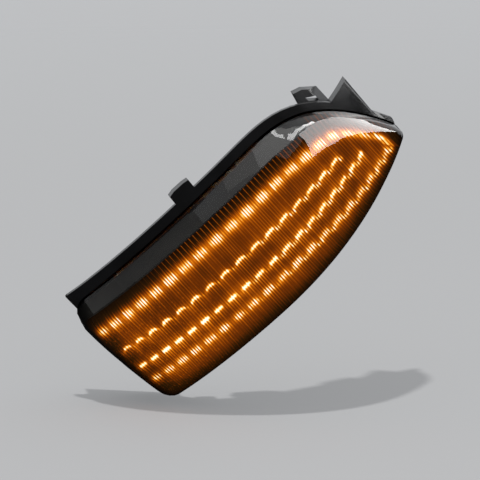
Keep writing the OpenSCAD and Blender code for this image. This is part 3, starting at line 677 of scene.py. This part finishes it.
# %% [markdown]
# ## Soft corners on the housing
# Every corner of a moulding is a little round, and a thin bright line runs along it in studio light. The
# CAD solid has sharp corners, so a merged copy gets a small bevel wherever two faces meet at a clear
# angle. Flat faces are joined first, so that the bevel doesn't cut into the thin triangles of the CAD
# mesh.

# %% Housing piece
FLAT_WITHIN, SMOOTH_WITHIN = math.radians(0.6), math.radians(32)
BEVEL_FROM = math.radians(40)
CORNER_ROUND = 0.25 * MM
bm, housing = merged_copy("rear_housing", "housing")
bmesh.ops.dissolve_limit(bm, angle_limit=FLAT_WITHIN, verts=bm.verts, edges=bm.edges)
for face in bm.faces:
    face.smooth = True
for edge in bm.edges:
    edge.smooth = edge.calc_face_angle(0) < SMOOTH_WITHIN
bm.to_mesh(housing.data)
bm.free()
bevel = housing.modifiers.new("soft_corners", "BEVEL")
bevel.width, bevel.segments = CORNER_ROUND, 2
bevel.limit_method, bevel.angle_limit = "ANGLE", BEVEL_FROM
bevel.harden_normals = True
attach(housing, "root")
dress(housing, housing_plastic)
print("housing:", len(housing.data.polygons), "faces before the bevel")

# %% [markdown]
# ## Inner pieces
# The boards, lights, pins and screws are hidden in the sealed lamp, but each has its own finish, so the
# lamp looks right with any part taken off. They could be modelled once more in Blender, yet nobody sees
# them in the photograph, so the CAD solids stay as they are and get new finishes. One helper makes them
# all from two shades of a colour, with gloss that changes along with the shade, and a fine grain where
# the real part has one.

# %% Inner finishes
def inner_finish(name, dark, light, scale, roughness, metal=0.0, grain=0.0, shines=None):
    """Two shades of one colour in small clouds, with the gloss changing along with them."""
    finish = Pattern(name)
    cloud = finish.noise(scale, 3)
    finish.set(Base_Color=finish.colours(cloud, [(0.3, dark), (0.7, light)]), Metallic=metal,
               Roughness=finish.ramp(cloud, 0.3, 0.7, roughness - 0.06, roughness + 0.06))
    if grain:
        finish.bump(finish.noise(scale * 12, 2), grain, 0.4)
    if shines:
        finish.set(Emission_Color=(*shines, 1), Emission_Strength=1.0)
    return finish


MOULDED, RUBBERY, WOVEN = 0.03 * MM, 0.05 * MM, 0.1 * MM     # depth of the grain
FINISHES = {
    "black_rubber": inner_finish(
        "black_rubber", (0.008, 0.008, 0.008), (0.014, 0.014, 0.014), 300, 0.7, grain=RUBBERY),
    "carrier_plastic": inner_finish(
        "carrier_plastic", (0.02, 0.013, 0.008), (0.035, 0.022, 0.012), 90, 0.45, grain=MOULDED),
    "circuit_board": inner_finish(
        "circuit_board", (0.01, 0.06, 0.025), (0.02, 0.1, 0.045), 260, 0.35, grain=MOULDED),
    "amber_light": inner_finish(
        "amber_light", (0.9, 0.5, 0.1), (1.0, 0.6, 0.15), 900, 0.3, shines=(1.0, 0.45, 0.06)),
    "component_black": inner_finish(
        "component_black", (0.015, 0.015, 0.015), (0.03, 0.03, 0.03), 500, 0.5, grain=MOULDED),
    "pin_metal": inner_finish(
        "pin_metal", (0.55, 0.48, 0.3), (0.8, 0.74, 0.52), 700, 0.28, metal=1.0),
    "capacitor_can": inner_finish(
        "capacitor_can", (0.55, 0.55, 0.57), (0.75, 0.75, 0.78), 400, 0.3, metal=1.0),
    "seal_rubber": inner_finish(
        "seal_rubber", (0.25, 0.05, 0.025), (0.38, 0.09, 0.045), 300, 0.65, grain=RUBBERY),
    "screw_steel": inner_finish(
        "screw_steel", (0.38, 0.38, 0.4), (0.55, 0.55, 0.57), 800, 0.33, metal=1.0),
    "vent_membrane": inner_finish(
        "vent_membrane", (0.6, 0.6, 0.6), (0.75, 0.75, 0.75), 2000, 0.9, grain=WOVEN),
}
slots = {part["node"]: part["material_slot"] for part in frame["record"]["subparts"]}
for node, piece in frame["nodes"].items():
    if slots[node] in FINISHES:
        dress(piece, FINISHES[slots[node]])
print("dressed", sum(slots[node] in FINISHES for node in frame["nodes"]), "CAD solids")

# %% [markdown]
# ## The camera
# The photograph looks straight at the lamp's front from ten degrees above, with the camera rolled, so the
# lamp climbs to the right. It was taken from far away, so a parallel view keeps both ends at one scale.

# %% Camera
ROLL, TILT = math.radians(43), math.radians(10)
VIEW_WIDTH = 194.3 * MM
CAMERA_AWAY, NEAREST, FARTHEST = 1.08, 0.05, 50  # in metres
forward = Vector((0, math.cos(TILT), -math.sin(TILT)))
upright = Vector((0, math.sin(TILT), math.cos(TILT)))
right = math.cos(ROLL) * Vector((1, 0, 0)) - math.sin(ROLL) * upright
up = math.sin(ROLL) * Vector((1, 0, 0)) + math.cos(ROLL) * upright
target = Vector((-2.01, -39.5, 10)) * MM         # it lies in the middle of the picture
seen_from = Matrix((right, up, -forward)).transposed()
camera = bpy.data.objects.new("camera", bpy.data.cameras.new("camera"))
camera.data.type, camera.data.ortho_scale = "ORTHO", VIEW_WIDTH
camera.data.clip_start, camera.data.clip_end = NEAREST, FARTHEST
camera.matrix_world = Matrix.Translation(target - forward * CAMERA_AWAY) @ seen_from.to_4x4()
bpy.context.scene.collection.objects.link(camera)
bpy.context.scene.camera = camera
print("the view is", round(VIEW_WIDTH / MM, 1), "mm wide")

# %% [markdown]
# ## The floor
# The lamp floats just above a pale floor, and only its soft shadow shows where the floor is. The floor is
# a disc that fades into the background colour, so it has no edge. Seen from below it lets the view
# through. It gives off a little of its own colour, and less light falls on it in return, which keeps the
# shadow even.

# %% Floor
PALE = (0.54, 0.55, 0.565)
FLOOR_DROP, FLOOR_REACH = 74 * MM, 1.2
FADE_FROM, FADE_TO = 0.35, 1.1
FLOOR_GREY, FLOOR_OWN_LIGHT = 0.33, 0.34
LOOK_DOWN = math.radians(12.5)
floor_up = seen_from @ Vector((0, math.cos(LOOK_DOWN), math.sin(LOOK_DOWN)))
floor_middle = target - floor_up * FLOOR_DROP
turn_floor = floor_up.to_track_quat("Z", "Y").to_matrix().to_4x4()
bm = bmesh.new()
bmesh.ops.create_circle(bm, cap_ends=True, segments=96, radius=FLOOR_REACH)
bmesh.ops.transform(bm, matrix=Matrix.Translation(floor_middle) @ turn_floor, verts=bm.verts)
floor = bpy.data.objects.new("floor", bpy.data.meshes.new("floor"))
bm.to_mesh(floor.data)
bm.free()
bpy.context.scene.collection.objects.link(floor)
floor_paint = Pattern("floor_paint")
from_middle = floor_paint.nodes.new("ShaderNodeVectorMath")
from_middle.operation = "DISTANCE"
floor_place = floor_paint.nodes.new("ShaderNodeTexCoord").outputs["Object"]
floor_paint.put(floor_place, from_middle.inputs[0])
floor_paint.put(floor_middle, from_middle.inputs[1])
kept = floor_paint.ramp(from_middle.outputs["Value"], FADE_TO, FADE_FROM)
under_side = floor_paint.nodes.new("ShaderNodeNewGeometry").outputs["Backfacing"]
floor_paint.set(Base_Color=(FLOOR_GREY, FLOOR_GREY, FLOOR_GREY, 1), Roughness=0.9,
                Specular_IOR_Level=0.1, Alpha=floor_paint.mul(kept, floor_paint.sub(1.0, under_side)),
                Emission_Color=(*PALE, 1), Emission_Strength=FLOOR_OWN_LIGHT)
dress(floor, floor_paint)
print("the floor is a disc of", FLOOR_REACH, "m radius")

# %% [markdown]
# ## The world
# The world is the same pale grey as the floor. It lights the lamp at a plain level, and it looks a little
# brighter where the camera, a mirror or clear plastic sees it straight, so that the background keeps its
# tone.

# %% World
AMBIENT, SEEN = 0.87, 1.0
world = bpy.data.worlds.new("studio")
world.use_nodes = True
bpy.context.scene.world = world
sky_nodes, sky_links = world.node_tree.nodes, world.node_tree.links
background = sky_nodes["Background"]
background.inputs["Color"].default_value = (*PALE, 1)
rays = sky_nodes.new("ShaderNodeLightPath")
seen_straight = rays.outputs["Is Camera Ray"]
for kind in ("Is Glossy Ray", "Is Transmission Ray"):
    either = sky_nodes.new("ShaderNodeMath")
    either.operation = "MAXIMUM"
    sky_links.new(seen_straight, either.inputs[0])
    sky_links.new(rays.outputs[kind], either.inputs[1])
    seen_straight = either.outputs[0]
strength = sky_nodes.new("ShaderNodeMapRange")
strength.inputs["To Min"].default_value = AMBIENT
strength.inputs["To Max"].default_value = SEEN
sky_links.new(seen_straight, strength.inputs["Value"])
sky_links.new(strength.outputs[0], background.inputs["Strength"])
print("the world lights the lamp at", AMBIENT)

# %% [markdown]
# ## The lamp overhead
# One soft lamp, high up and a little in front, makes the shadow on the floor. A disc gives the shadow
# soft edges.

# %% Lamp
LAMP_PLACE, LAMP_SIZE, LAMP_POWER = (-0.75, 7.5, 2.6), 0.4, 305


def studio_point(across, high, near):
    """From the lamp's middle, as the camera sees it: to the right, upwards and nearer, in metres."""
    return target + seen_from @ Vector((across, high, near))


lamp = bpy.data.objects.new("overhead", bpy.data.lights.new("overhead", "AREA"))
lamp.data.shape, lamp.data.size, lamp.data.energy = "DISK", LAMP_SIZE, LAMP_POWER
lamp.location = studio_point(*LAMP_PLACE)
lamp.rotation_mode = "QUATERNION"
lamp.rotation_quaternion = (target - lamp.location).to_track_quat("-Z", "Y")
lamp.visible_camera = False
bpy.context.scene.collection.objects.link(lamp)
print("the lamp is", round((target - lamp.location).length, 2), "m away")

# %% [markdown]
# ## A card for the reflections
# The polished lens is a mirror, so its looks come from what stands around it. Photographers hang white
# cards, black flags and softboxes round a shiny thing for that. Here each is one flat face that gives off
# its own light and is seen only in reflections, so it neither stands in the view nor throws a shadow.

# %% Card
CARD_SURFACE, CARD_LIGHT = (0.01, 0.01, 0.01, 1), (1, 1, 1, 1)


def card(name, corners, strength):
    """A flat card that is seen only in reflections, with its corners as the camera sees them."""
    bm = bmesh.new()
    bm.faces.new([bm.verts.new(studio_point(*place)) for place in corners])
    piece = bpy.data.objects.new(name, bpy.data.meshes.new(name))
    bm.to_mesh(piece.data)
    bm.free()
    finish = Pattern(name)
    finish.set(Base_Color=CARD_SURFACE, Roughness=1.0, Specular_IOR_Level=0.0,
               Emission_Color=CARD_LIGHT, Emission_Strength=strength)
    dress(piece, finish)
    bpy.context.scene.collection.objects.link(piece)
    piece.visible_camera = piece.visible_shadow = False
    piece.visible_diffuse = piece.visible_transmission = False


print("cards give off light of the colour", CARD_LIGHT[:3])

# %% [markdown]
# ## Hanging the cards
# A bright slanted softbox makes the white patch near the tip, and a dark surround behind it hides the
# pale world. Dark flags keep the rest of the face deep in colour. Grey cards above give the clear band
# its shades, and a bright strip its highlight. Each has a name, a strength and its corners as the camera
# sees them. A strength of 0 is black, 1 is white, and more is a light.

# %% Cards
SOFTBOX_LIFT, SURROUND_LIFT = 0.6, 0.63
SOFTBOX_LEAN = math.radians(60)
JUST_ABOVE = 2 * MM


def slanted(up_slope, near, lift=SOFTBOX_LIFT):
    """A point on the slanted plane of the softbox, which hangs at the upper right."""
    return (lift * math.cos(SOFTBOX_LEAN) - up_slope * math.sin(SOFTBOX_LEAN),
            lift * math.sin(SOFTBOX_LEAN) + up_slope * math.cos(SOFTBOX_LEAN), near)


def over_floor(x, y):
    """A point just above the floor, as the camera sees it."""
    spot = target - floor_up * (FLOOR_DROP - JUST_ABOVE) + turn_floor.to_3x3() @ Vector((x, y, 0))
    return seen_from.transposed() @ (spot - target)


CARDS = [
    ("tip_softbox", 7.0, [
        slanted(0.0, 0.22), slanted(-0.23, 0.345), slanted(-0.25, 0.12), slanted(-0.235, -0.02),
        slanted(-0.21, -0.3), slanted(-0.24, -0.5), slanted(0.13, -0.53), slanted(0.03, -0.2)]),
    ("softbox_surround", 0.0, [
        slanted(-0.05, 0.6, SURROUND_LIFT), slanted(-0.9, 0.6, SURROUND_LIFT),
        slanted(-0.9, -0.55, SURROUND_LIFT), slanted(-0.05, -0.55, SURROUND_LIFT)]),
    ("front_flag", 0.0, [(-1.5, -1.5, 0.9), (1.5, -1.5, 0.9), (1.5, 0.9, 0.9), (-1.5, 0.9, 0.9)]),
    ("left_flag", 0.0, [(-0.9, -1.5, 0.9), (-0.9, 0.0, 0.9), (-0.9, 0.0, -1.2), (-0.9, -1.5, -1.2)]),
    ("right_flag", 0.0, [(0.9, -1.5, 0.9), (0.9, 0.5, 0.9), (0.9, 0.5, -1.2), (0.9, -1.5, -1.2)]),
    ("floor_flag", 0.0, [over_floor(-1, -1), over_floor(1, -1), over_floor(1, 1), over_floor(-1, 1)]),
    ("left_card", 0.25, [(-0.9, 0.0, 0.9), (-0.9, 0.8, 0.5), (-0.9, 0.8, -1.2), (-0.9, 0.0, -1.2)]),
    ("side_card", 0.85, [
        (-0.75, 0.97, 0.1), (-0.45, 0.97, 0.1), (-0.38, 0.97, -0.5), (-0.7, 0.97, -0.5)]),
    ("top_card", 1.6, [
        (-0.45, 0.95, 0.1), (-0.13, 0.95, 0.1), (-0.08, 0.95, -0.5), (-0.38, 0.95, -0.5)]),
    ("band_strip", 8.0, [
        (-0.165, 0.9, -0.12), (-0.14, 0.9, -0.12), (-0.035, 0.9, -0.72), (-0.06, 0.9, -0.72)]),
]
for name, strength, corners in CARDS:
    card(name, corners, strength)
print("hung", len(CARDS), "cards round the lamp")

# %% [markdown] ## Last steps The view transform is set to Standard, so a colour shows as it is
# written.

# %% Finish
scene = bpy.context.scene
scene.view_settings.view_transform = "Standard"
